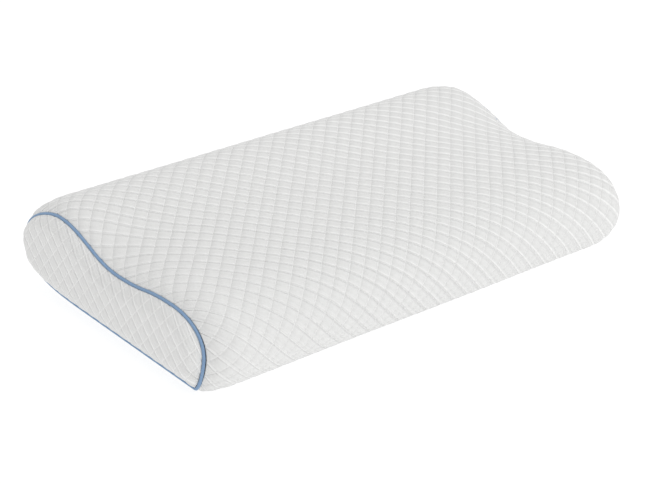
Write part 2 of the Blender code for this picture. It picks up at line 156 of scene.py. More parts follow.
def mixed(
    tree: bpy.types.NodeTree, first: str, second: str, share: bpy.types.NodeSocket
) -> bpy.types.NodeSocket:
    """Mix two colours.

    Args:
        tree: the material's node tree.
        first: the colour at a share of 0, as "#RRGGBB".
        second: the colour at a share of 1.
        share: the socket that chooses.

    Returns:
        The socket of the colour.
    """
    settings = {"data_type": "RGBA", 6: linear(first), 7: linear(second)}
    return add(tree, "ShaderNodeMix", settings, {0: share}).outputs[2]


def raised(
    tree: bpy.types.NodeTree, height: bpy.types.NodeSocket, strength: float, distance: float,
    over: bpy.types.NodeSocket | None = None, sunk: bool = False,
) -> bpy.types.NodeSocket:
    """Add a Bump node.

    Args:
        tree: the material's node tree.
        height: the socket of the relief's height, 0 to 1.
        strength: how much of the relief shows.
        distance: how high a height of 1 stands, in metres.
        over: the socket of the relief that this one lies on.
        sunk: whether the relief goes in instead of out.

    Returns:
        The socket of the normal.
    """
    settings = {"Strength": strength, "Distance": distance, "invert": sunk}
    links = {"Height": height} if over is None else {"Height": height, "Normal": over}
    return add(tree, "ShaderNodeBump", settings, links).outputs["Normal"]


def blank_material(
    name: str, constants: dict[str, object]
) -> tuple[bpy.types.Material, bpy.types.Node]:
    """Make a material that holds only a Principled shader with these constants.

    Args:
        name: the material's name.
        constants: the shader's input values by name.

    Returns:
        The material and its shader node.
    """
    made = bpy.data.materials.new(name)
    made.use_nodes = True
    shader = made.node_tree.nodes["Principled BSDF"]
    for key, value in constants.items():
        shader.inputs[key].default_value = value
    return made, shader


def feed(
    made: bpy.types.Material, shader: bpy.types.Node,
    colour: bpy.types.NodeSocket, relief: bpy.types.NodeSocket,
) -> bpy.types.Material:
    """Feed a material's shader.

    Args:
        made: the material.
        shader: its shader node.
        colour: the socket of its colour.
        relief: the socket of its normal.

    Returns:
        The material.
    """
    made.node_tree.links.new(colour, shader.inputs["Base Color"])
    made.node_tree.links.new(relief, shader.inputs["Normal"])
    return made


def make_piece(
    name: str,
    points: np.ndarray,
    faces: np.ndarray | Sequence[Sequence[int]],
    cloth: np.ndarray | None = None,
) -> bpy.types.Object:
    """Make a smooth-shaded mesh object.

    Args:
        name: the piece's name.
        points: its vertices, in metres.
        faces: its faces, as rows of point numbers.
        cloth: where each vertex lies on the flat cloth, in metres, kept as the "cloth" UV map.

    Returns:
        The linked object.
    """
    mesh = bpy.data.meshes.new(name)
    rows = faces.tolist() if isinstance(faces, np.ndarray) else faces
    mesh.from_pydata(points.reshape(-1, 3).tolist(), [], rows)
    if cloth is not None:
        corners = np.empty(len(mesh.loops), np.int32)
        mesh.loops.foreach_get("vertex_index", corners)
        layer = mesh.uv_layers.new(name="cloth")
        layer.data.foreach_set("uv", cloth.reshape(-1, 2)[corners].astype(np.float32).ravel())
    mesh.validate()
    mesh.shade_smooth()
    made = bpy.data.objects.new(name, mesh)
    bpy.context.scene.collection.objects.link(made)
    return made


def dress(
    piece: bpy.types.Object, material: bpy.types.Material, node: str | None = None
) -> bpy.types.Object:
    """Give a piece its finish and put it on the pillow.

    Args:
        piece: the piece.
        material: its finish.
        node: the frame's node that it replaces, or None where the frame has none for it.

    Returns:
        The piece.
    """
    piece.data.materials.append(material)
    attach(piece, PILLOW)
    if node:
        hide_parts(node)
    return piece


def travelled(points: np.ndarray) -> np.ndarray:
    """Measure how far along a line each of its points is."""
    return np.concatenate([[0], np.cumsum(np.linalg.norm(np.diff(points, axis=0), axis=1))])


def unit(vectors: np.ndarray) -> np.ndarray:
    """Scale each vector to a length of one."""
    return vectors / np.maximum(np.linalg.norm(vectors, axis=-1, keepdims=True), 1e-12)


def grid_quads(rows: int, columns: int, round_columns: bool, turned: bool) -> np.ndarray:
    """Number the quads of a grid of points.

    Args:
        rows: how many rows the grid has.
        columns: how many points each row has.
        round_columns: whether the last point of a row joins its first.
        turned: whether to face them the other way.

    Returns:
        One row of four point numbers to each quad.
    """
    row = np.arange(rows - 1)[:, None] * columns
    here = np.arange(columns if round_columns else columns - 1)
    there = (here + 1) % columns
    quads = np.stack(
        [row + here, row + columns + here, row + columns + there, row + there], axis=-1
    ).reshape(-1, 4)
    return quads[:, ::-1] if turned else quads


def grid_normals(points: np.ndarray, round_columns: bool) -> np.ndarray:
    """Find the outward unit normals of a grid of points on the pillow.

    Args:
        points: the grid, (rows, columns, 3).
        round_columns: whether the last point of a row joins its first.

    Returns:
        The normals, in the grid's shape.
    """
    down = np.gradient(points, axis=0)
    if round_columns:
        across = np.roll(points, -1, axis=1) - np.roll(points, 1, axis=1)
    else:
        across = np.gradient(points, axis=1)
    normals = unit(np.cross(down, across))
    middle = np.array([0.0, 0.0, 0.055])
    out = (normals * (points - middle)).sum(axis=-1).mean()
    return -normals if out < 0 else normals


def faces_out(points: np.ndarray, normals: np.ndarray) -> bool:
    """Tell whether the grid's quads, taken row then column, already face along its normals."""
    down, across = points[1, 0] - points[0, 0], points[0, 1] - points[0, 0]
    return float(np.cross(down, across) @ normals[0, 0]) > 0


def noise(*axes: np.ndarray) -> np.ndarray:
    """Give the same even noise for the same whole numbers, every run.

    Args:
        axes: the whole numbers, one array to each axis, up to three.

    Returns:
        Noise from 0 to 1, in the arrays' shape.
    """
    total = sum(axis * factor for axis, factor in zip(axes, (12.9898, 78.233, 37.719)))
    waves = np.sin(total) * 43758.5453
    return waves - np.floor(waves)


def rise(values: np.ndarray, start: float, end: float) -> np.ndarray:
    """Step smoothly from 0 at start to 1 at end."""
    share = np.clip((values - start) / (end - start), 0, 1)
    return share * share * (3 - 2 * share)


# ---- the body's shape ----------------------------------------------------------------------------


@dataclass(frozen=True)
class SeamLine:
    """An end seam as evenly spaced points, with their directions."""

    side: End
    # How far round the seam each point is.
    distance: np.ndarray
    points: np.ndarray
    # The way straight out of the corner that the wrap and the end cloth make.
    out: np.ndarray
    # The way across the seam, towards the end cloth.
    over: np.ndarray


@dataclass(frozen=True)
class BodyShape:
    """The pillow's outer surface, in metres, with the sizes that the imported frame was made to."""

    length: float = 0.600
    depth: float = 0.360
    # Heights: the two rolls, the dip between them, and the cover where it spans the dip.
    back_roll: float = 0.115
    front_roll: float = 0.0985
    dip: float = 0.0905
    span: float = 0.1050
    span_slope: float = 0.055
    # From how far out to how far out the cover sinks from the span into the dip, and how late.
    span_ends: tuple[float, float] = (0.12, 0.28)
    span_power: float = 2.5
    # How far in from the front or the back the crests and the dip lie.
    front_crest: float = 0.080
    dip_place: float = 0.175
    back_crest: float = 0.079
    # How high up the front and the back bulge most, and how far in they touch the floor.
    front_bulge: float = 0.049
    back_bulge: float = 0.057
    front_foot: float = 0.042
    back_foot: float = 0.112
    # The turn of the wrap in to the end seam: how far along it takes, its arc, and its cloth.
    end_round: float = 0.0335
    end_angle: float = 0.974
    round_cloth: float = 0.0385
    # The end cloth: how far it stands past the seam, and how far in it takes to get there,
    # underneath and on top.
    crown: float = 0.0125
    crown_run: tuple[float, float] = (0.023, 0.014)
    # How far the seam's outline lies inside the wrap's, and how far off the floor.
    inset_front: float = 0.0265
    inset_top: float = 0.0135
    inset_back: float = 0.0092
    lift: float = 0.0080
    seam_foot: float = 0.0146
    # The middle line of an end cloth stops this far from the front and the back.
    midline_ends: float = 0.052
    # The zip's height, and the place of the seam under the front roll.
    zip_height: float = 0.026
    front_seam: float = 6.93
    # How far each stretch's two Bezier handles reach, as shares of its size.
    handles: tuple[tuple[float, float], ...] = (
        (0.38, 0.35), (0.61, 0.61), (0.51, 0.51), (0.41, 0.41), (0.30, 0.56), (0.76, 0.85),
        (1 / 3, 1 / 3),
    )

    @property
    def seam_x(self) -> float:
        """How far out the end seams are."""
        return self.length / 2 - self.crown

    @property
    def round_start(self) -> float:
        """How far out the wrap starts to turn in."""
        return self.seam_x - self.end_round

    @property
    def half_cloth(self) -> float:
        """The wrap's length along its cloth from the middle to a seam."""
        return self.round_start + self.round_cloth

    def dip_share(self, x: float) -> float:
        """How far the top has sunk into the hollow at this distance from the middle, 0 to 1."""
        start, whole = self.span_ends
        return min(max((x - start) / (whole - start), 0.0), 1.0) ** self.span_power

    def outline(self, places: np.ndarray, inset: float, dip: float) -> np.ndarray:
        """Trace the cross-section.

        Args:
            places: 0 at the front foot and one more at each turning point, up to LAP.
            inset: 0 on the wrap, 1 at the end seam.
            dip: 0 where the cover spans the hollow, 1 where it follows it.

        Returns:
            A point (y, z) to each place.
        """
        front, back = -self.depth / 2, self.depth / 2
        drop, floor = inset * self.inset_top, inset * self.lift
        foot = self.front_foot + inset * (self.seam_foot - self.front_foot)
        hollow = self.span + (self.dip - self.span) * dip - drop
        corners = np.array([
            (front + inset * self.inset_front + foot, floor),
            (front + inset * self.inset_front, self.front_bulge),
            (front + self.front_crest, self.front_roll - drop),
            (front + self.dip_place, hollow),
            (back - self.back_crest, self.back_roll - drop),
            (back - inset * self.inset_back, self.back_bulge),
            (back - self.back_foot, floor),
        ])
        slope = self.span_slope * (1 - dip)
        ways = np.array(
            [(-1, 0), (0, 1), (1, slope), (1, slope), (1, 0), (0, -1), (-1, 0)], float
        )
        turned = np.asarray(places, float) % LAP
        stretch = np.floor(turned).astype(int)
        share = (turned - stretch)[:, None]
        following = (stretch + 1) % LAP
        start, end = corners[stretch], corners[following]
        leave, arrive = ways[stretch], ways[following]
        reach = np.array(self.handles)[stretch]
        across = np.abs(end - start)
        first = start + leave * reach[:, :1] * (across * np.abs(leave)).sum(1, keepdims=True)
        second = end - arrive * reach[:, 1:] * (across * np.abs(arrive)).sum(1, keepdims=True)
        rest = 1 - share
        return (
            rest**3 * start
            + 3 * rest**2 * share * first
            + 3 * rest * share**2 * second
            + share**3 * end
        )

    def run_at(self, outward: np.ndarray) -> np.ndarray:
        """How far in from the seam the crown flattens: farther under it than on top.

        Args:
            outward: how much the seam faces up there, -1 to 1.

        Returns:
            The distances, in metres.
        """
        under, upper = self.crown_run
        return under + (upper - under) * (outward + 1) / 2

    def zip_place(self) -> float:
        """The place low on the back where the outline passes the zip's height."""
        places = np.linspace(5, 6, 4001)
        heights = self.outline(places, 0, 1)[:, 1]
        return float(np.interp(-self.zip_height, -heights, places))

    def places_at(self, distances: np.ndarray) -> np.ndarray:
        """Turn distances along the mid-length outline into places.

        Args:
            distances: how far each point is from the front foot, in metres.

        Returns:
            The places, on the outline's scale.
        """
        fine = np.linspace(-1, LAP + 1, 9001)
        along = travelled(self.outline(fine, 0, 0))
        along -= np.interp(0, fine, along)
        return np.interp(distances, along, fine)

    def distance_to(self, place: float) -> float:
        """Measure along the mid-length outline.

        Args:
            place: where to measure to, on the outline's scale.

        Returns:
            The distance from the front foot, in metres.
        """
        fine = np.linspace(min(place, 0), max(place, 0), 4001)
        points = self.outline(fine, 0, 0)
        return math.copysign(np.linalg.norm(np.diff(points, axis=0), axis=1).sum(), place)

    def round_seam(self, count: int) -> tuple[np.ndarray, np.ndarray]:
        """Space points evenly round an end seam.

        Args:
            count: how many points.

        Returns:
            How far round each one is, in metres, and its place on the outline's scale.
        """
        fine = np.linspace(0, LAP, 4001)
        along = travelled(self.outline(fine, 1, 1))
        distance = np.arange(count) * along[-1] / count
        return distance, np.interp(distance, along, fine)

    def wrap(self, along: np.ndarray, places: np.ndarray) -> np.ndarray:
        """Lay points on the wrap.

        Args:
            along: distances on the cloth from mid-length, negative to the left.
            places: places round the outline.

        Returns:
            A grid of points (len(along), len(places), 3).
        """
        rows = []
        for u in along:
            share = min(max((abs(u) - self.round_start) / self.round_cloth, 0.0), 1.0)
            angle = share * self.end_angle
            turn = (1 - math.cos(angle)) / (1 - math.cos(self.end_angle))
            x = min(abs(u), self.round_start)
            x += self.end_round * math.sin(angle) / math.sin(self.end_angle)
            dip = self.dip_share(x)
            flat = self.outline(places, 0, dip) * (1 - turn) + self.outline(places, 1, 1) * turn
            rows.append(np.column_stack([np.full(len(flat), math.copysign(x, u)), flat]))
        return np.array(rows)

    def end(
        self, shares: np.ndarray, places: np.ndarray, side: End
    ) -> tuple[np.ndarray, np.ndarray]:
        """Lay points on an end cloth.

        Args:
            shares: 0 at the seam, 0.5 where the crown flattens, 1 on the middle line.
            places: places round the outline.
            side: which end.

        Returns:
            A grid of points (len(shares), len(places), 3), and where each lies on the flat cloth.
        """
        seam = self.outline(places, 1, 1)
        top = self.outline(np.linspace(1, 5, 400), 1, 1)
        limit = self.depth / 2 - self.midline_ends
        across = np.clip(seam[:, 0], -limit, limit)
        middle = np.column_stack([across, np.interp(across, top[:, 0], top[:, 1]) / 2])
        reach = np.linalg.norm(middle - seam, axis=1)[:, None]
        inward = (middle - seam) / reach
        run = np.minimum(self.run_at(-inward[:, 1:]), 0.9 * reach)
        rows, flats = [], []
        for share in shares:
            rising = min(share * 2, 1.0)
            settled = max(share * 2 - 1, 0.0)
            moved = run * rising + (reach - run) * settled
            x = side.value * (self.seam_x + self.crown * (1 - (1 - rising) ** 2))
            flats.append(seam + inward * moved)
            rows.append(np.column_stack([np.full(len(seam), x), flats[-1]]))
        return np.array(rows), np.array(flats)

    def seam_line(self, count: int, side: End) -> SeamLine:
        """Find an end seam's line with its directions.

        Args:
            count: how many points.
            side: which end.

        Returns:
            The line.
        """
        distance, places = self.round_seam(count)
        seam = self.outline(places, 1, 1)
        tangent = self.outline(places + 0.02, 1, 1) - self.outline(places - 0.02, 1, 1)
        tangent = unit(tangent)
        normal = np.column_stack([-tangent[:, 1], tangent[:, 0]])
        inset = np.linalg.norm(seam - self.outline(places, 0, 1), axis=1)
        whole = 1 - math.cos(self.end_angle)
        wrap_rise = inset * math.sin(self.end_angle) / whole
        wrap_along = self.end_round * math.cos(self.end_angle) / math.sin(self.end_angle)
        crown_tilt = np.arctan2(self.run_at(normal[:, 1]), 2 * self.crown)
        tilt = np.arctan2(wrap_rise, wrap_along) + crown_tilt
        sine, cosine = np.sin(tilt / 2)[:, None], np.cos(tilt / 2)[:, None]
        points = np.column_stack([np.full(len(seam), side.value * self.seam_x), seam])
        out = np.hstack([side.value * sine, normal * cosine])
        over = np.hstack([side.value * cosine, -normal * sine])
        return SeamLine(side, distance, points, out, over)


SHAPE = BodyShape()


# ---- finishes ------------------------------------------------------------------------------------


@dataclass(frozen=True)
class Quilting:
    """The diamond quilting: two crossing rows of grooves, with the cloth puffed up between."""

    # A diamond's two diagonals, and how many points the mesh has along each.
    along: float = 19.42 * MM
    round: float = 21.28 * MM
    cuts: int = 10
    # How high a diamond's middle stands over the grooves, and how deep these lie.
    puff: float = 0.62 * MM
    sunk: float = 0.25 * MM
    # How flat a diamond's middle is, and how much its height varies from one to the next.
    fullness: float = 2.3
    uneven: float = 0.16

    @property
    def spacing(self) -> float:
        """The distance between neighbouring grooves."""
        return self.along * self.round / math.hypot(self.along, self.round)

    def height(self, cloth: np.ndarray) -> np.ndarray:
        """Find how far the quilted cloth stands out.

        Args:
            cloth: positions on the flat cloth, in metres, (..., 2).

        Returns:
            The height over the plain surface, in metres.
        """
        first = cloth[..., 0] / self.along + cloth[..., 1] / self.round
        second = cloth[..., 0] / self.along - cloth[..., 1] / self.round
        first, second = first + 1e-7, second + 1e-7
        cell = noise(np.floor(first), np.floor(second))
        puff = 1.0
        for axis in (first, second):
            puff = puff * (1 - np.abs(2 * (axis - np.floor(axis)) - 1) ** self.fullness)
        return self.puff * puff * (1 + self.uneven * (2 * cell - 1)) - self.sunk


@dataclass(frozen=True)
class QuiltedKnitFinish:
    """Polyester double-knit ticking, circular-knitted and quilted: a matt white with a soft bloom
    at grazing angles, fine ribs, and paler grooves: partly the stitch lines' own tone, partly a
    painted highlight set to the lit side of the grooves."""

    name: str = "Quilted circular-knit polyester"
    cell: str = "#E2E2E1"
    # The colour of the painted highlight along the grooves.
    groove_highlight: str = "#F1F1F0"
    quilting: Quilting = Quilting()
    # Ribs of four 0.8 mm wales run along one row of grooves; drawn a little coarser, to show.
    rib: float = 4.75 * MM
    # Knitted loops are 0.5 mm; drawn 1.3 mm across for the same reason.
    loop: float = 1.3 * MM
    groove_width: float = 1.1 * MM
    # How deep the relief falls from a diamond's middle to a groove of each family, and how
    # sharply: the higher the power, the more of the fall is beside the groove.
    bulge: float = 1.05 * MM
    steeper: float = 0.95
    powers: tuple[float, float] = (2.3, 2.0)
    # The paler lip is a painted highlight: it lies on the lit side of the first family's grooves,
    # this share of a diamond away, and is wider there than along the second family's.
    highlight_aside: float = 0.09
    wider: float = 1.7
    second_highlight: float = 0.6
    # Slow clouds of unevenness in the white, how wide and how strong.
    cloud: tuple[float, float] = (30 * MM, 0.10)
    # The furrow that the quilting's thread pulls, from how far off to how far off.
    furrow: tuple[float, float] = (0.3 * MM, 1.3 * MM)

    def build(self) -> bpy.types.Material:
        """Make the material, which reads the "cloth" UV map in metres."""
        made, shader = blank_material(self.name, {
            "Roughness": 0.88,
            "IOR": 1.47,
            "Specular IOR Level": 0.25,
            "Sheen Weight": 0.22,
            "Sheen Roughness": 0.45,
        })
        tree = made.node_tree
        uv = add(tree, "ShaderNodeUVMap", {"uv_map": "cloth"}).outputs["UV"]
        split = add(tree, "ShaderNodeSeparateXYZ", links={"Vector": uv})
        across = calc(tree, "DIVIDE", split.outputs["X"], self.quilting.along)
        upward = calc(tree, "DIVIDE", split.outputs["Y"], self.quilting.round)
        spacing = self.quilting.spacing
        rows, hollows, distances, highlight_lips = [], [], [], []
        for way, power, highlight_aside, wide, share in (
            ("ADD", self.powers[0], -self.highlight_aside, self.wider * self.groove_width, 1.0),
            ("SUBTRACT", self.powers[1], 0.0, self.groove_width, self.second_highlight),
        ):
            row = calc(tree, way, across, upward)
            fold = calc(tree, "PINGPONG", row, 0.5)
            # A band of painted highlight, set to the lit side of the first family's grooves.
            highlight_fold = calc(tree, "PINGPONG", calc(tree, "ADD", row, highlight_aside), 0.5)
            rows.append(row)
            hollows.append(calc(tree, "POWER", calc(tree, "MULTIPLY_ADD", fold, -2.0, 1.0), power))
            distances.append(calc(tree, "MULTIPLY", fold, spacing))
            highlight_lips.append(ramp(tree, highlight_fold, (0.35 * wide / spacing, share), (wide / spacing, 0.0),
                             "SMOOTHSTEP"))
        wide, strong = self.cloud
        cloud = add(tree, "ShaderNodeTexNoise", {"Scale": 1 / wide, "Detail": 3.0}, {"Vector": uv})
        uneven = ramp(tree, cloud.outputs["Fac"], (0.3, 0.0), (0.7, strong))
        # Paler where the painted highlight lies along the grooves, and in the slow clouds of tone.
        cloud_and_highlight = calc(tree, "ADD", calc(tree, "MAXIMUM", *highlight_lips), uneven)
        colour = mixed(tree, self.cell, self.groove_highlight, cloud_and_highlight)
        hollow = calc(tree, "MULTIPLY_ADD", hollows[0], self.steeper, hollows[1])
        puffed = raised(tree, hollow, 1.0, self.bulge, sunk=True)
        start, end = self.furrow
        furrow = ramp(tree, calc(tree, "MINIMUM", *distances), (start, 0.0), (end, 1.0),
                      "SMOOTHSTEP")
        sewn = raised(tree, furrow, 0.55, 0.30 * MM, puffed)
        ribs = calc(tree, "PINGPONG", calc(tree, "MULTIPLY", rows[0], spacing / self.rib), 0.5)
        loops = add(tree, "ShaderNodeTexVoronoi", {"Scale": 1 / self.loop, "Randomness": 0.35},
                    {"Vector": uv})
        knit = calc(tree, "MULTIPLY_ADD", loops.outputs["Distance"], 0.25, ribs)
        return feed(made, shader, colour, raised(tree, knit, 0.9, 1.1 * MM, sewn))


@dataclass(frozen=True)
class WovenFinish:
    """A woven or knitted cloth: fine diagonal or straight ribs over a slightly mottled colour."""

    name: str
    colour: str
    shade: str
    rib: float
    direction: str = "DIAGONAL"
    roughness: float = 0.8
    sheen: float = 0.2
    relief: float = 0.1 * MM
    anisotropic: float = 0.0

    def build(self) -> bpy.types.Material:
        """Make the material, which reads the "cloth" UV map in metres."""
        made, shader = blank_material(self.name, {
            "Roughness": self.roughness,
            "IOR": 1.5,
            "Specular IOR Level": 0.3,
            "Sheen Weight": self.sheen,
            "Sheen Roughness": 0.4,
            "Anisotropic": self.anisotropic,
        })
        tree = made.node_tree
        uv = add(tree, "ShaderNodeUVMap", {"uv_map": "cloth"}).outputs["UV"]
        # A wave texture of scale 1 has a band to every 0.314 m.
        ribs = add(tree, "ShaderNodeTexWave",
                   {"bands_direction": self.direction, "Scale": 0.314 / self.rib,
                    "Distortion": 0.8, "Detail": 1.0, "Detail Scale": 60.0},
                   {"Vector": uv}).outputs["Fac"]
        mottle = add(tree, "ShaderNodeTexNoise", {"Scale": 1 / (6 * MM), "Detail": 4.0},
                     {"Vector": uv}).outputs["Fac"]
        colour = mixed(tree, self.colour, self.shade, calc(tree, "MULTIPLY", ribs, mottle))
        return feed(made, shader, colour, raised(tree, ribs, 0.6, self.relief))


@dataclass(frozen=True)
class FoamFinish:
    """Moulded viscoelastic polyurethane foam: a dull cream skin, pitted with burst cells, with
    painted shade darkening the pits.
    """

    name: str = "Moulded viscoelastic foam"
    skin: str = "#EFE6C9"
    # The pits' colour is painted shade, darker than the skin.
    pit_shade: str = "#DCCFA8"
    # Cells are 0.4 mm; drawn 1.6 mm across so that they show.
    cell: float = 1.6 * MM

    def build(self) -> bpy.types.Material:
        """Make the material from the object's own coordinates."""
        made, shader = blank_material(self.name, {
            "Roughness": 0.95,
            "IOR": 1.5,
            "Specular IOR Level": 0.2,
            "Subsurface Weight": 0.1,
            "Subsurface Radius": (0.004, 0.003, 0.002),
        })
        tree = made.node_tree
        where = add(tree, "ShaderNodeTexCoord").outputs["Object"]
        cells = add(tree, "ShaderNodeTexVoronoi", {"Scale": 1 / self.cell},
                    {"Vector": where}).outputs["Distance"]
        # Painted shade: darker towards each pit's bottom, where the relief sinks.
        colour = mixed(tree, self.pit_shade, self.skin, cells)
        return feed(made, shader, colour, raised(tree, cells, 0.5, 0.3 * MM))


@dataclass(frozen=True)
class SmoothFinish:
    """A drawn or die-cast surface: near-even colour, with faint tumbling marks in its gloss."""

    name: str
    colour: str
    shade: str
    roughness: tuple[float, float]
    metallic: float = 0.0
    mark: float = 0.8 * MM
    relief: float = 0.01 * MM

    def build(self) -> bpy.types.Material:
        """Make the material from the object's own coordinates."""
        made, shader = blank_material(self.name, {"Metallic": self.metallic})
        tree = made.node_tree
        where = add(tree, "ShaderNodeTexCoord").outputs["Object"]
        marks = add(tree, "ShaderNodeTexNoise", {"Scale": 1 / self.mark, "Detail": 5.0},
                    {"Vector": where}).outputs["Fac"]
        low, high = self.roughness
        tree.links.new(ramp(tree, marks, (0.0, low), (1.0, high)), shader.inputs["Roughness"])
        colour = mixed(tree, self.colour, self.shade, marks)
        return feed(made, shader, colour, raised(tree, marks, 0.4, self.relief))


QUILTED_KNIT = QuiltedKnitFinish()
# The same ticking pulled tight over the crowned ends: its cells puff less.
PULLED_KNIT = QuiltedKnitFinish("Quilted circular-knit polyester, pulled tight", bulge=0.5 * MM)
# Bias-cut polyester-cotton twill, dyed: matt blue with fine diagonal ribs, 0.5 mm, drawn 1.1.
PIPING_CLOTH = WovenFinish("Dyed bias-cut twill", "#86A1C0", "#6F8FB4", 1.1 * MM)
# Twisted cotton cord: unbleached, fibrous.
COTTON_CORD = WovenFinish("Twisted cotton", "#E6E1D3", "#CFC8B6", 0.9 * MM, roughness=0.95)
# Weft-knitted polyester sock: plain, thin, slightly grey. Wales are 0.9 mm, drawn 1.8.
LINER_KNIT = WovenFinish("Weft-knitted liner", "#E9E9E6", "#D8D8D4", 1.8 * MM, "X", 0.9)
# Woven polyester zip tape: dense straight ribs along its length, 0.6 mm, drawn 1.0.
ZIP_TAPE = WovenFinish("Woven polyester tape", "#EDEDEE", "#D9DADC", 1.0 * MM, "Y", 0.75)
# Satin-woven label ribbon: a directional gloss across close weft threads, 0.3 mm, drawn 0.8.
SATIN = WovenFinish("Satin-woven ribbon", "#F2F2F0", "#E2E2E0", 0.8 * MM, "Y", 0.42, 0.1,
                    0.05 * MM, 0.6)
# Spun polyester sewing thread: white with a faint twist.
THREAD = WovenFinish("Spun polyester thread", "#F4F4F4", "#DCDCDC", 0.7 * MM, roughness=0.6)
# Drawn nylon monofilament: smooth and slightly waxy.
COIL_NYLON = SmoothFinish("Drawn nylon filament", "#EEEEEF", "#E0E1E3", (0.32, 0.42))
# Die-cast zinc alloy, barrel-plated with nickel: bright, with soft tumbling marks.
PLATED_ZINC = SmoothFinish("Barrel-plated zinc alloy", "#C9C8C4", "#B5B4B0", (0.22, 0.34), 1.0)


# ---- the cover -----------------------------------------------------------------------------------


@dataclass
class Slack:
    """How the cover's cloth settles over the foam. A cloth simulation blows up a coarse copy, sewn
    down at the seams and the zip, and the fine cloth takes over how far each part moved."""

    pressure: float = 4.0
    frames: int = 20
    most: float = 1.4 * MM
    rings: int = 41
    rounds: int = 96

    def __post_init__(self) -> None:
        """Lay out the coarse wrap's rows and start it unmoved."""
        self.along = np.linspace(-SHAPE.half_cloth, SHAPE.half_cloth, self.rings)
        self.travel = np.linspace(0, SHAPE.distance_to(LAP), self.rounds, endpoint=False)
        self.moved = np.zeros((self.rings, self.rounds))

    def settle(self) -> None:
        """Run the simulation and keep how far each coarse point moved out."""
        points = SHAPE.wrap(self.along, SHAPE.places_at(self.travel))
        normals = grid_normals(points, True)
        quads = grid_quads(self.rings, self.rounds, True, not faces_out(points, normals))
        coarse = make_piece("settling_cloth", points, quads)
        sewn = coarse.vertex_groups.new(name="sewn")
        held = points[..., 2] < 1 * MM
        held[[0, -1]] = True
        held[:, np.argmin(abs(self.travel - SHAPE.distance_to(SHAPE.zip_place())))] = True
        sewn.add(np.flatnonzero(held).tolist(), 1.0, "REPLACE")
        cloth = coarse.modifiers.new("settle", "CLOTH")
        cloth.settings.use_pressure = True
        cloth.settings.uniform_pressure_force = self.pressure
        cloth.settings.effector_weights.gravity = 0.0
        cloth.settings.vertex_group_mass = "sewn"
        cloth.point_cache.frame_start = 1
        cloth.point_cache.frame_end = self.frames
        scene = bpy.context.scene
        for number in range(1, self.frames + 1):
            scene.frame_set(number)
        shown = coarse.evaluated_get(bpy.context.evaluated_depsgraph_get()).to_mesh()
        after = np.empty(points.size)
        shown.vertices.foreach_get("co", after)
        after = after.reshape(points.shape)
        scene.frame_set(1)
        bpy.data.objects.remove(coarse, do_unlink=True)
        out = ((after - points) * normals).sum(axis=-1)
        widest = max(float(np.abs(out).max()), 1e-6)
        self.moved = out * min(1.0, self.most / widest)
        LOG.info("cloth settled: moved up to %.2f mm, kept up to %.2f mm", widest / MM,
                 np.abs(self.moved).max() / MM)

    def at(self, along: np.ndarray, travel: np.ndarray) -> np.ndarray:
        """Read the settled height for a grid of cloth positions.

        Args:
            along: the grid's distances along the pillow.
            travel: its distances round the outline.

        Returns:
            Heights in metres, (len(along), len(travel)).
        """
        whole = SHAPE.distance_to(LAP)
        knots = np.concatenate([self.travel, [whole]])
        rows = np.hstack([self.moved, self.moved[:, :1]])
        wrapped = np.mod(travel, whole)
        by_row = np.array([np.interp(wrapped, knots, row) for row in rows])
        return np.array([
            np.interp(along, self.along, by_row[:, column]) for column in range(len(travel))
        ]).T


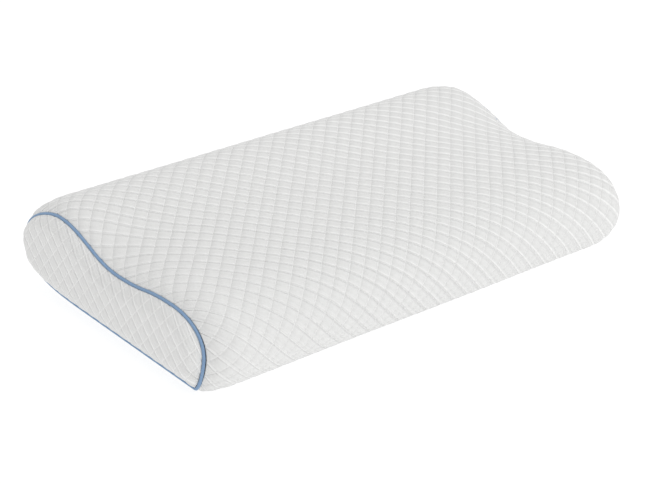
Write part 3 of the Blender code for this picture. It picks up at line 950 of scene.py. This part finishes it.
@dataclass
class QuiltedCover:
    """The zip-off cover: a top and a base panel round the body, and two crowned end cloths."""

    finish: QuiltedKnitFinish
    end_finish: QuiltedKnitFinish
    slack: Slack
    front_gap: float = 0.2 * MM
    zip_opening: float = 6.2 * MM
    # From where to where along the zip its seam closes, how wide a band of cloth is drawn over,
    # and how near to the zip's middle it comes.
    closing: tuple[float, float, float, float] = (0.235, 0.249, 30 * MM, 0.25 * MM)
    piping_space: float = 2.1 * MM
    # How far the edges go under, and the fold before that: how far it bulges out and goes down.
    turning: float = 3.2 * MM
    hem: tuple[float, float] = (0.35 * MM, 1.5 * MM)
    # Beside a seam the quilting puffs this share of its height and is pressed this far down, on
    # the wrap and on the ends, within these distances (metres on the wrap, a share on the ends).
    pressed: tuple[float, float] = (0.25, 0.5 * MM)
    end_pressed: tuple[float, float] = (0.2, 0.4 * MM)
    flat_by_seam: float = 5.5 * MM
    end_flat: float = 0.13
    slack_by_seam: float = 20 * MM
    # Gathers along the seams: how high, how far apart, and how soon they fade.
    pucker: float = 0.10 * MM
    pucker_pitch: float = 8.5 * MM
    pucker_fade: float = 6 * MM
    end_pucker_fade: float = 0.06
    # The swell just inside an end seam: how high, how far in and how wide.
    shoulder: tuple[float, float, float] = (1.2 * MM, 11 * MM, 8 * MM)
    waves: float = 0.25 * MM
    floor_gap: float = 0.15 * MM
    end_cuts: tuple[int, int] = (620, 40)
    end_bow: float = 0.8 * MM
    # How far the end cloth's grain is dragged forward and up over its crown, per metre of depth.
    end_drag: tuple[float, float] = (-1.0, 0.65)

    def build(self) -> list[bpy.types.Object]:
        """Make the four panels.

        Returns:
            The panels, each riding on the pillow.
        """
        material, tight = self.finish.build(), self.end_finish.build()
        zip_at = SHAPE.distance_to(SHAPE.zip_place())
        front, whole = SHAPE.distance_to(SHAPE.front_seam), SHAPE.distance_to(LAP)
        top = self.wrap_panel("cover_top", front - whole + self.front_gap,
                              zip_at - self.zip_opening)
        base = self.wrap_panel("cover_base", zip_at + self.zip_opening, front - self.front_gap)
        panels = [dress(top, material, "cover_top_panel"),
                  dress(base, material, "cover_base_panel")]
        for side in End:
            panels.append(
                dress(self.end_cloth(side), tight, f"end_panel_{side.word}")
            )
        return panels

    def undulation(self, along: np.ndarray, travel: np.ndarray) -> np.ndarray:
        """Find the slow unevenness of cloth pulled by hand over foam.

        Args:
            along: distances along the pillow.
            travel: distances round the outline.

        Returns:
            The grid's heights in metres.
        """
        along, travel = np.meshgrid(along, travel, indexing="ij")
        return self.waves * (
            np.sin(along * 23 + 1.3 * np.sin(travel * 17)) * np.sin(travel * 29 + 0.7)
        )

    def quilted(
        self, cloth: np.ndarray, flat: np.ndarray, pressed: tuple[float, float]
    ) -> np.ndarray:
        """Find the quilting's height where it is pressed down beside the seams.

        Args:
            cloth: positions on the flat cloth, in metres.
            flat: 0 at a seam and 1 clear of it.
            pressed: the share of its height that is left at a seam, and how far down it goes.

        Returns:
            The heights in metres.
        """
        share, depth = pressed
        height = self.finish.quilting.height(cloth) * (share + (1 - share) * flat)
        return height - depth * (1 - flat)

    def lattice(self, start: float, end: float, step: float) -> tuple[np.ndarray, np.ndarray]:
        """Lay rows on the quilting's lattice, and one more on each edge of the panel.

        Args:
            start: where the panel starts, in metres on the cloth.
            end: where it ends.
            step: the lattice's step.

        Returns:
            Where each row is, and the rows' lattice numbers with two more for each turned edge.
        """
        # A row nearer to an edge than this share of a step is left out.
        room = 0.3
        first, last = math.ceil(start / step + room), math.floor(end / step - room)
        rows = np.concatenate([[start], np.arange(first, last + 1) * step, [end]])
        return rows, np.arange(first - 3, last + 4)

    def wrap_panel(self, name: str, start: float, end: float) -> bpy.types.Object:
        """Cut a panel of the wrap, with its edges turned in at the seams and the zip.

        Args:
            name: the piece's name.
            start: where it starts, as a distance round the outline.
            end: where it ends.

        Returns:
            The panel.
        """
        quilting = self.finish.quilting
        edge = SHAPE.half_cloth - self.piping_space
        along, row_numbers = self.lattice(-edge, edge, quilting.along / quilting.cuts)
        travel, column_numbers = self.lattice(start, end, quilting.round / quilting.cuts)
        across = self.closed_seam(along, travel, start, end)
        surface = np.concatenate(
            [SHAPE.wrap([u], SHAPE.places_at(row)) for u, row in zip(along, across)]
        )
        normals = grid_normals(surface, False)
        cloth = np.stack([np.broadcast_to(along[:, None], across.shape), across], axis=-1)
        to_side = (edge - np.abs(along))[:, None]
        near = np.minimum(to_side, np.minimum(travel - start, end - travel)[None, :])
        flat = rise(near, 0, self.flat_by_seam)
        height = self.quilted(cloth, flat, self.pressed)
        height += self.slack.at(along, travel) * rise(near, 0, self.slack_by_seam)
        height += self.undulation(along, travel) * flat
        swell, inside, wide = self.shoulder
        height += swell * np.exp(-(((to_side - inside) / wide) ** 2))
        gathers = np.sin(2 * math.pi * travel / self.pucker_pitch + 2 * np.sin(travel * 61))
        height += self.pucker * gathers[None, :] * np.exp(-to_side / self.pucker_fade)
        points = surface + normals * height[..., None]
        points[..., 2] = np.maximum(points[..., 2], self.floor_gap)
        points, normals, cloth = self.turn_in(points, normals, cloth)
        turned = not faces_out(points[2:, 2:], normals[2:, 2:])
        faces = self.split_on_grooves(row_numbers, column_numbers, turned)
        return make_piece(name, points, faces, cloth)

    def closed_seam(
        self, along: np.ndarray, travel: np.ndarray, start: float, end: float
    ) -> np.ndarray:
        """Draw the panel's zip edge over to the zip's middle beyond both ends of the zip.

        Args:
            along: the grid's distances along the pillow.
            travel: its distances round the outline.
            start: where the panel starts, as a distance round the outline.
            end: where it ends.

        Returns:
            The distance round the outline of each point, (len(along), len(travel)).
        """
        # The top panel starts before the front foot and ends at the zip; the base is beyond it.
        from_zip, way = (travel - start, -1) if start > 0 else (end - travel, 1)
        opens, shut, band, gap = self.closing
        near = 1 - rise(from_zip, 0, band)
        beyond = rise(np.abs(along), opens, shut)[:, None]
        return travel + way * (self.zip_opening - gap) * near * beyond

    def turn_in(
        self, points: np.ndarray, normals: np.ndarray, cloth: np.ndarray
    ) -> tuple[np.ndarray, np.ndarray, np.ndarray]:
        """Fold the panel's four edges under, as a sewn hem is.

        Args:
            points: the panel's grid.
            normals: its normals.
            cloth: its places on the flat cloth.

        Returns:
            The same three with two more rows on every side.
        """
        for axis in (0, 1):
            for last in (False, True):
                rows, outs, flats = (grid.swapaxes(0, axis) for grid in (points, normals, cloth))
                edge, inner = (-1, -2) if last else (0, 1)
                outward = unit(rows[edge] - rows[inner])
                fold = rows[edge] + outward * self.hem[0] - outs[edge] * self.hem[1]
                tuck = rows[edge] - outward * self.hem[1] - outs[edge] * self.turning
                turned = [np.stack([fold, tuck] if last else [tuck, fold])]
                turned += [np.stack([grid[edge], grid[edge]]) for grid in (outs, flats)]
                points, normals, cloth = (
                    np.concatenate([kept, more] if last else [more, kept]).swapaxes(0, axis)
                    for kept, more in zip((rows, outs, flats), turned)
                )
        return points, normals, cloth

    def split_on_grooves(self, rows: np.ndarray, columns: np.ndarray, turned: bool) -> np.ndarray:
        """Split each quad along the groove that passes nearest, so that grooves stay crisp.

        Args:
            rows: the lattice number of each row.
            columns: the lattice number of each column.
            turned: whether to face the triangles the other way.

        Returns:
            One row of three point numbers to each triangle.
        """
        cuts = self.finish.quilting.cuts
        quads = grid_quads(len(rows), len(columns), False, False)
        row, column = rows[:-1, None], columns[None, :-1]
        rising, falling = (
            np.abs(number / cuts - np.round(number / cuts))
            for number in (row + column + 1, row - column)
        )
        use_rising = (rising < falling).ravel()[:, None]
        first = np.where(use_rising, quads[:, [0, 1, 3]], quads[:, [0, 1, 2]])
        second = np.where(use_rising, quads[:, [1, 2, 3]], quads[:, [0, 2, 3]])
        faces = np.concatenate([first, second])
        return faces[:, ::-1] if turned else faces

    def end_cloth(self, side: End) -> bpy.types.Object:
        """Cut the crowned cloth of one end, sewn to the piping all round.

        Args:
            side: which end.

        Returns:
            The cloth.
        """
        count, rings = self.end_cuts
        distance, places = SHAPE.round_seam(count)
        first = self.piping_space / (2 * math.hypot(SHAPE.crown_run[1], 2 * SHAPE.crown))
        shares = np.concatenate([[first * 0.35, first * 0.7], np.linspace(first, 1, rings)])
        surface, flat = SHAPE.end(shares, places, side)
        normals = grid_normals(surface, True)
        if (normals[-5, :, 0] * side.value).mean() < 0:
            normals = -normals
        sunk = SHAPE.length / 2 - np.abs(surface[..., :1])
        outward = unit(flat[0] - flat[-1])
        dragged = rise(outward @ unit(np.array(self.end_drag)), 0.0, 0.5)[:, None]
        flat = (flat + sunk * dragged * self.end_drag) * (side.value, 1)
        clear = rise(shares, first, first + self.end_flat)[:, None]
        height = self.quilted(flat, clear, self.end_pressed)
        gathers = np.sin(2 * math.pi * distance / self.pucker_pitch)
        height += self.end_bow * np.sin(shares * math.pi / 2)[:, None]
        height += self.pucker * gathers * np.exp(-shares / self.end_pucker_fade)[:, None]
        points = surface + normals * height[..., None]
        points[0] -= normals[0] * self.turning
        points[1] -= normals[1] * 1.3 * MM
        quads = grid_quads(len(shares), count, True, not faces_out(points[5:], normals[5:]))
        return make_piece(f"end_cloth_{side.word}", points, quads, flat)


@dataclass
class Piping:
    """Piping round an end seam: a twisted cord in a bias tape whose edges go into the seam."""

    cord_radius: float = 1.0 * MM
    radius: float = 1.7 * MM
    # How proud the cord's middle stands of the corner, underneath and on top.
    stand: tuple[float, float] = (0.2 * MM, -1.1 * MM)
    flange: float = 4.2 * MM
    # How far round the cord the tape goes before it turns down, either way from the outside.
    hug: float = math.radians(158)
    # The tape's own unevenness: a share of its radius, and how far apart.
    swell: tuple[float, float] = (0.018, 11 * MM)
    cuts: int = 560
    section: int = 18
    cord_section: int = 12
    strands: int = 3
    twist: float = 6 * MM

    def build(
        self, side: End, cloth: bpy.types.Material, cotton: bpy.types.Material
    ) -> list[bpy.types.Object]:
        """Make the tape and the cord of one end.

        Args:
            side: which end.
            cloth: the tape's material.
            cotton: the cord's material.

        Returns:
            The tape and the cord.
        """
        line = SHAPE.seam_line(self.cuts, side)
        return [
            dress(self.tape(line), cloth, f"piping_tape_{side.word}"),
            dress(self.cord(line), cotton, f"piping_cord_{side.word}"),
        ]

    def swept(self, name: str, line: SeamLine, section: np.ndarray) -> bpy.types.Object:
        """Carry a section round the seam.

        Args:
            name: the piece's name.
            line: the seam.
            section: (over, out) offsets, one closed loop at each seam point.

        Returns:
            The closed tube.
        """
        rings = line.points[:, None] + line.over[:, None] * section[..., :1]
        rings = rings + line.out[:, None] * section[..., 1:]
        rows, columns = section.shape[:2]
        cloth = np.stack(
            np.meshgrid(line.distance, travelled(section[0]), indexing="ij"), axis=-1
        )
        quads = grid_quads(rows + 1, columns, True, line.side is End.RIGHT) % (rows * columns)
        return make_piece(name, rings, quads, cloth)

    def standing(self, line: SeamLine) -> np.ndarray:
        """Find how proud the cord's middle stands: least on top, where the cover pulls tight.

        Args:
            line: the seam.

        Returns:
            The distances in metres, (points, 1).
        """
        under, upper = self.stand
        return under + (upper - under) * (line.out[:, 2:] + 1) / 2

    def tape(self, line: SeamLine) -> bpy.types.Object:
        """Fold the bias tape round the cord, with its two edges down in the seam.

        Args:
            line: the seam.

        Returns:
            The tape.
        """
        angles = np.linspace(-self.hug, self.hug, self.section)
        most, pitch = self.swell
        swell = np.sin(line.distance * 2 * math.pi / pitch + 2 * np.sin(line.distance * 43))
        radius = self.radius * (1 + most * swell)[:, None]
        fold = np.stack(
            [np.sin(angles) * radius, np.cos(angles) * radius + self.standing(line)], axis=-1
        )
        half = 0.8 * math.sin(self.hug) * self.radius
        feet = np.array([(half, -self.flange), (-half, -self.flange)])
        feet = np.broadcast_to(feet, (self.cuts, 2, 2))
        return self.swept(
            f"piping_bias_{line.side.word}", line, np.concatenate([fold, feet], axis=1)
        )

    def cord(self, line: SeamLine) -> bpy.types.Object:
        """Twist the strands into the cord inside the tape.

        Args:
            line: the seam.

        Returns:
            The cord.
        """
        angles = np.linspace(0, 2 * math.pi, self.cord_section, endpoint=False)
        turns = line.distance[:, None] * 2 * math.pi / self.twist
        size = self.cord_radius * (0.9 + 0.1 * np.cos(self.strands * (angles - turns)))
        section = np.stack(
            [np.sin(angles) * size, np.cos(angles) * size + self.standing(line)], axis=-1
        )
        return self.swept(f"piping_core_{line.side.word}", line, section)


# ---- the zip -------------------------------------------------------------------------------------


@dataclass
class CoilZip:
    """The coil zip low on the back: two tapes, two nylon coils, and a metal slider and stops."""

    tape_reach: float = 0.238
    tape_width: float = 12.0 * MM
    tape_near: float = 1.2 * MM
    tape_depth: float = 3.5 * MM
    tape_thick: float = 0.5 * MM
    # The ribs that the weave stands in along the tape: how high and how far apart.
    tape_ribs: tuple[float, float] = (0.06 * MM, 1.1 * MM)
    coil_run: tuple[float, float] = (-0.2272, 0.2243)
    coil_pitch: float = 1.5 * MM
    coil_depth: float = 2.25 * MM
    coil_middle: float = 1.12 * MM
    coil_reach: tuple[float, float] = (1.02 * MM, 0.68 * MM)
    filament: float = 0.25 * MM
    # A stitch's length, the pitch from one to the next and the thread's radius.
    stitch: tuple[float, float, float] = (2.7 * MM, 3.5 * MM, 0.28 * MM)
    stitch_row: float = 8.6 * MM
    # How deep a stitch's middle lies under the plain surface, and its ends below that.
    stitch_depth: tuple[float, float] = (0.55 * MM, 0.35 * MM)

    def place(self, x: np.ndarray, below: np.ndarray, depth: np.ndarray) -> np.ndarray:
        """Lay points by the zip's middle line.

        Args:
            x: distances along the pillow.
            below: distances under the middle line, along the surface.
            depth: distances under the surface.

        Returns:
            The points, in the arguments' common shape with a last axis of 3.
        """
        x, below, depth = np.broadcast_arrays(x, below, depth)
        middle = SHAPE.distance_to(SHAPE.zip_place())
        places = SHAPE.places_at((middle + below).ravel())
        tangent = unit(SHAPE.outline(places + 0.01, 0, 0) - SHAPE.outline(places - 0.01, 0, 0))
        out = np.column_stack([-tangent[:, 1], tangent[:, 0]])
        flat = SHAPE.outline(places, 0, 0) - out * depth.ravel()[:, None]
        return np.column_stack([x.ravel(), flat]).reshape(x.shape + (3,))

    def build(self) -> list[bpy.types.Object]:
        """Make the tapes, coils and stitching, and finish the metal pieces of the frame.

        Returns:
            The new pieces.
        """
        tape_cloth, nylon, thread = ZIP_TAPE.build(), COIL_NYLON.build(), THREAD.build()
        made = []
        for word, way in (("upper", -1), ("lower", 1)):
            made += [
                dress(self.tape(word, way), tape_cloth, f"zip_tape_{word}"),
                dress(self.coil(word, way), nylon, f"zip_coil_{word}"),
                dress(self.sewing(word, way), thread),
            ]
        metal = PLATED_ZINC.build()
        for node in ("zip_slider", "zip_pull", "zip_stop_closed_end", "zip_stop_open_end"):
            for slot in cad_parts[node].material_slots:
                slot.material = metal
        return made

    def tape(self, word: str, way: int) -> bpy.types.Object:
        """Weave one tape: a thin strip with low ribs along it, closed all round.

        Args:
            word: "upper" or "lower".
            way: -1 above the zip's middle line, 1 below it.

        Returns:
            The tape.
        """
        x = np.linspace(-self.tape_reach, self.tape_reach, 160)
        below = np.linspace(self.tape_near, self.tape_width, 24)
        high, pitch = self.tape_ribs
        depth = self.tape_depth - high * np.cos(below * 2 * math.pi / pitch)
        back = np.full(depth.shape, self.tape_depth + self.tape_thick)
        about = np.concatenate([below, below[::-1]])
        ring = self.place(x[:, None], way * about, np.concatenate([depth, back]))
        count = len(about)
        last = (len(x) - 1) * count
        quads = grid_quads(len(x), count, True, way > 0).tolist()
        quads += [list(range(count))[::way], list(range(last, last + count))[::-way]]
        cloth = np.stack(np.meshgrid(x, about, indexing="ij"), axis=-1)
        return make_piece(f"zip_woven_{word}", ring, quads, cloth)

    def coil(self, word: str, way: int) -> bpy.types.Object:
        """Wind one coil; the two are half a pitch apart, so that their loops mesh.

        Args:
            word: "upper" or "lower".
            way: -1 above the zip's middle line, 1 below it.

        Returns:
            The coil.
        """
        start, end = self.coil_run
        turns = (end - start) / self.coil_pitch
        steps = int(turns * 10)
        angle = np.linspace(0, 2 * math.pi * turns, steps)
        x = start + (end - start) * np.linspace(0, 1, steps) + self.coil_pitch / 4 * way
        wide, high = self.coil_reach
        below = way * (self.coil_middle - wide * np.cos(angle))
        line = self.place(x, below, self.coil_depth - high * np.sin(angle))
        along = unit(np.gradient(line, axis=0))
        side = unit(np.cross(along, [1.0, 0.0, 0.0]))
        up = np.cross(side, along)
        about = np.linspace(0, 2 * math.pi, 5, endpoint=False)[:, None]
        ring = np.cos(about) * side[:, None] + np.sin(about) * up[:, None]
        quads = grid_quads(steps, 5, True, False).tolist()
        quads += [list(range(5)), list(range(steps * 5 - 1, steps * 5 - 6, -1))]
        return make_piece(f"zip_winding_{word}", line[:, None] + ring * self.filament, quads)

    def sewing(self, word: str, way: int) -> bpy.types.Object:
        """Sew the cover's edge to the tape with one row of lockstitch.

        Args:
            word: "upper" or "lower".
            way: -1 above the zip's middle line, 1 below it.

        Returns:
            The row of stitches.
        """
        length, pitch, radius = self.stitch
        centres = np.arange(-self.tape_reach + 2 * pitch, self.tape_reach - 2 * pitch, pitch)
        shares = np.array([-1.0, -0.6, 0.0, 0.6, 1.0])
        about = np.linspace(0, 2 * math.pi, 6, endpoint=False)
        thick = radius * np.sqrt(np.maximum(1 - shares**2, 0.06))[:, None]
        middle, ends = self.stitch_depth
        grid_x = centres[:, None, None] + shares[None, :, None] * length / 2 + 0 * about
        below = way * self.stitch_row + np.sin(about) * thick + 0 * grid_x
        depth = middle - np.cos(about) * thick + ends * shares[:, None] ** 2
        one = grid_quads(len(shares), len(about), True, way < 0).tolist()
        size = len(shares) * len(about)
        one += [list(range(len(about))), list(range(size - len(about), size))]
        faces = [[n + row * size for n in face] for row in range(len(centres)) for face in one]
        cloth = np.stack([grid_x, below], axis=-1)
        return make_piece(f"zip_topstitch_{word}", self.place(grid_x, below, depth), faces, cloth)


# ---- inside and trim -----------------------------------------------------------------------------


@dataclass
class Inside:
    """What the cover holds: a thin knitted liner with sewn-in ends, and the moulded foam core."""

    liner_depth: float = 5.9 * MM
    core_depth: float = 7.9 * MM
    rounds: int = 220
    rings: int = 90
    end_rings: int = 14

    def build(self) -> list[bpy.types.Object]:
        """Make the liner's three pieces and the core.

        Returns:
            The pieces.
        """
        knit, foam = LINER_KNIT.build(), FoamFinish().build()
        travel = np.linspace(0, SHAPE.distance_to(LAP), self.rounds, endpoint=False)
        places = SHAPE.places_at(travel)
        along = np.linspace(-SHAPE.half_cloth, SHAPE.half_cloth, self.rings)
        shares = np.linspace(0, 1, self.end_rings)
        wrap = SHAPE.wrap(along, places)
        left, left_flat = SHAPE.end(shares, places, End.LEFT)
        right, right_flat = SHAPE.end(shares, places, End.RIGHT)
        whole = np.concatenate([left[::-1], wrap[1:-1], right])
        normals = grid_normals(whole, True)
        turned = not faces_out(whole[8:], normals[8:])
        sock = whole - normals * self.liner_depth
        cloth = np.stack(np.meshgrid(along, travel, indexing="ij"), axis=-1)
        ends = self.end_rings
        pieces = []
        for name, node, rows, flat in (
            ("liner_knit_sleeve", "liner_sleeve", slice(ends - 1, ends - 1 + self.rings), cloth),
            ("liner_knit_left", "liner_end_left", slice(0, ends), left_flat[::-1]),
            ("liner_knit_right", "liner_end_right", slice(len(whole) - ends, None), right_flat),
        ):
            part = sock[rows]
            quads = grid_quads(len(part), self.rounds, True, turned)
            pieces.append(dress(make_piece(name, part, quads, flat), knit, node))
        core = make_piece("moulded_core", whole - normals * self.core_depth,
                          grid_quads(len(whole), self.rounds, True, turned))
        dress(core, foam, "foam_core")
        return pieces + [core]


@dataclass
class CareLabel:
    """A blank satin label, folded into the back of the right end seam."""

    # From where to where it lies, as shares of the cloth that turns in to the end seam.
    span: tuple[float, float] = (0.30, 0.965)
    height: float = 24 * MM
    raised: float = 10 * MM
    thick: float = 0.35 * MM
    # How far off the cover it lies, how far its free edge curls up, and the wave in that edge.
    lift: float = 0.75 * MM
    curl: float = 1.6 * MM
    wave: float = 0.25 * MM

    def build(self) -> bpy.types.Object:
        """Make the label and lay it on the cover.

        Returns:
            The label.
        """
        start = SHAPE.distance_to(5) - self.raised - self.height
        travel = start + np.linspace(0, self.height, 26)
        share = np.linspace(*self.span, 22)
        along = SHAPE.round_start + share * SHAPE.round_cloth
        surface = SHAPE.wrap(along, SHAPE.places_at(travel))
        normals = grid_normals(surface, False)
        free = (1 - (share - share[0]) / (share[-1] - share[0]))[:, None]
        wave = self.wave * np.sin(np.linspace(0, 5, len(travel)))[None] * free
        lift = self.lift + self.curl * free**3 + wave
        upper = surface + normals * (lift + self.thick)[..., None]
        lower = surface + normals * lift[..., None]
        ring = np.concatenate([upper, lower[:, ::-1]], axis=1)
        count = ring.shape[1]
        quads = grid_quads(len(share), count, True, not faces_out(upper, normals)).tolist()
        quads += [list(range(count)), list(range((len(share) - 1) * count, len(share) * count))]
        about = np.concatenate([travel, travel[::-1]])
        cloth = np.stack(np.meshgrid(share * SHAPE.round_cloth, about, indexing="ij"), axis=-1)
        made = make_piece("blank_label", ring, quads, cloth)
        return dress(made, SATIN.build(), "care_label")


# ---- the studio ----------------------------------------------------------------------------------


@dataclass
class Studio:
    """A glowing white floor, even light all round with two broad soft lights, and the camera."""

    lens: float = 106.05
    azimuth: float = -39.685
    elevation: float = 26.537
    roll: float = 1.270
    distance: float = 2.0577
    target: tuple[float, float, float] = (-0.03898, -0.02902, 0.05)
    paper: tuple[str, str] = ("#909090", "#989898")
    # The floor glows by itself, though it is no lamp: painted light that keeps it white right up
    # to the pillow, as a lit sweep is, and washes out the pillow's shadow.
    glow: float = 0.78
    sky: float = 0.79
    # Each light's name, power in watts, size and place, all aimed at the pillow.
    lamps: tuple[tuple[str, float, float, tuple[float, float, float]], ...] = (
        ("key", 18.0, 1.3, (0.85, -2.6, 1.6)),
        ("overhead", 8.0, 2.0, (0.2, 0.2, 2.4)),
    )

    def build(self) -> None:
        """Set up the floor, the lights and the camera."""
        self.floor()
        self.lights()
        self.camera()
        bpy.context.scene.view_settings.view_transform = "Standard"

    def floor(self) -> None:
        """Lay the studio paper under the pillow: mid-grey paper that glows by itself, as painted
        light.
        """
        side = np.linspace(-4, 4, 9)
        grid = np.stack(np.meshgrid(side, side, indexing="ij"), axis=-1)
        points = np.concatenate([grid, np.zeros(grid.shape[:2] + (1,))], axis=-1)
        floor = make_piece("studio_paper", points, grid_quads(9, 9, False, False))
        # Mid-grey paper with its own glow: painted light that shows white and fills in the pillow's
        # shadow.
        paper, shader = blank_material("Matt studio paper, glowing", {
            "Roughness": 0.95, "Emission Color": (1, 1, 1, 1), "Emission Strength": self.glow,
        })
        tree = paper.node_tree
        grain = add(tree, "ShaderNodeTexNoise", {"Scale": 3.0, "Detail": 2.0})
        tree.links.new(mixed(tree, *self.paper, grain.outputs["Fac"]),
                       shader.inputs["Base Color"])
        floor.data.materials.append(paper)

    def lights(self) -> None:
        """Set an even white surround, a broad key from the front right, and one overhead."""
        world = bpy.data.worlds.new("studio")
        world.use_nodes = True
        background = world.node_tree.nodes["Background"]
        background.inputs["Color"].default_value = (1, 1, 1, 1)
        background.inputs["Strength"].default_value = self.sky
        bpy.context.scene.world = world
        for name, power, size, place in self.lamps:
            light = bpy.data.lights.new(name, "AREA")
            light.energy = power
            light.size = size
            lamp = bpy.data.objects.new(name, light)
            lamp.location = place
            lamp.rotation_euler = (-Vector(place)).to_track_quat("-Z", "Y").to_euler()
            bpy.context.scene.collection.objects.link(lamp)

    def camera(self) -> None:
        """Stand the camera at its angle, with its slight roll."""
        azimuth, elevation, roll = (
            math.radians(angle) for angle in (self.azimuth, self.elevation, self.roll)
        )
        back = Vector((
            math.sin(azimuth) * math.cos(elevation),
            -math.cos(azimuth) * math.cos(elevation),
            math.sin(elevation),
        ))
        right = Vector((math.cos(azimuth), math.sin(azimuth), 0))
        up = back.cross(right)
        across = math.cos(roll) * right + math.sin(roll) * up
        upright = -math.sin(roll) * right + math.cos(roll) * up
        lens = bpy.data.cameras.new("studio_camera")
        lens.lens = self.lens
        lens.sensor_width = 36
        camera = bpy.data.objects.new("studio_camera", lens)
        turn = Matrix((across, upright, back)).transposed().to_4x4()
        place = Vector(self.target) + self.distance * back
        camera.matrix_world = Matrix.Translation(place) @ turn
        bpy.context.scene.collection.objects.link(camera)
        bpy.context.scene.camera = camera


def main() -> None:
    """Build the studio and the pillow piece by piece."""
    logging.basicConfig(level=logging.INFO, format="%(message)s")
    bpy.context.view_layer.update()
    Studio().build()
    slack = Slack()
    slack.settle()
    cover = QuiltedCover(QUILTED_KNIT, PULLED_KNIT, slack).build()
    piping_cloth, cotton = PIPING_CLOTH.build(), COTTON_CORD.build()
    piping = [piece for side in End for piece in Piping().build(side, piping_cloth, cotton)]
    zip_pieces = CoilZip().build()
    inside = Inside().build()
    label = CareLabel().build()
    for piece in [*cover, *piping, *zip_pieces, *inside, label]:
        LOG.info("%s: %d faces", piece.name, len(piece.data.polygons))


if __name__ == "__main__":
    main()
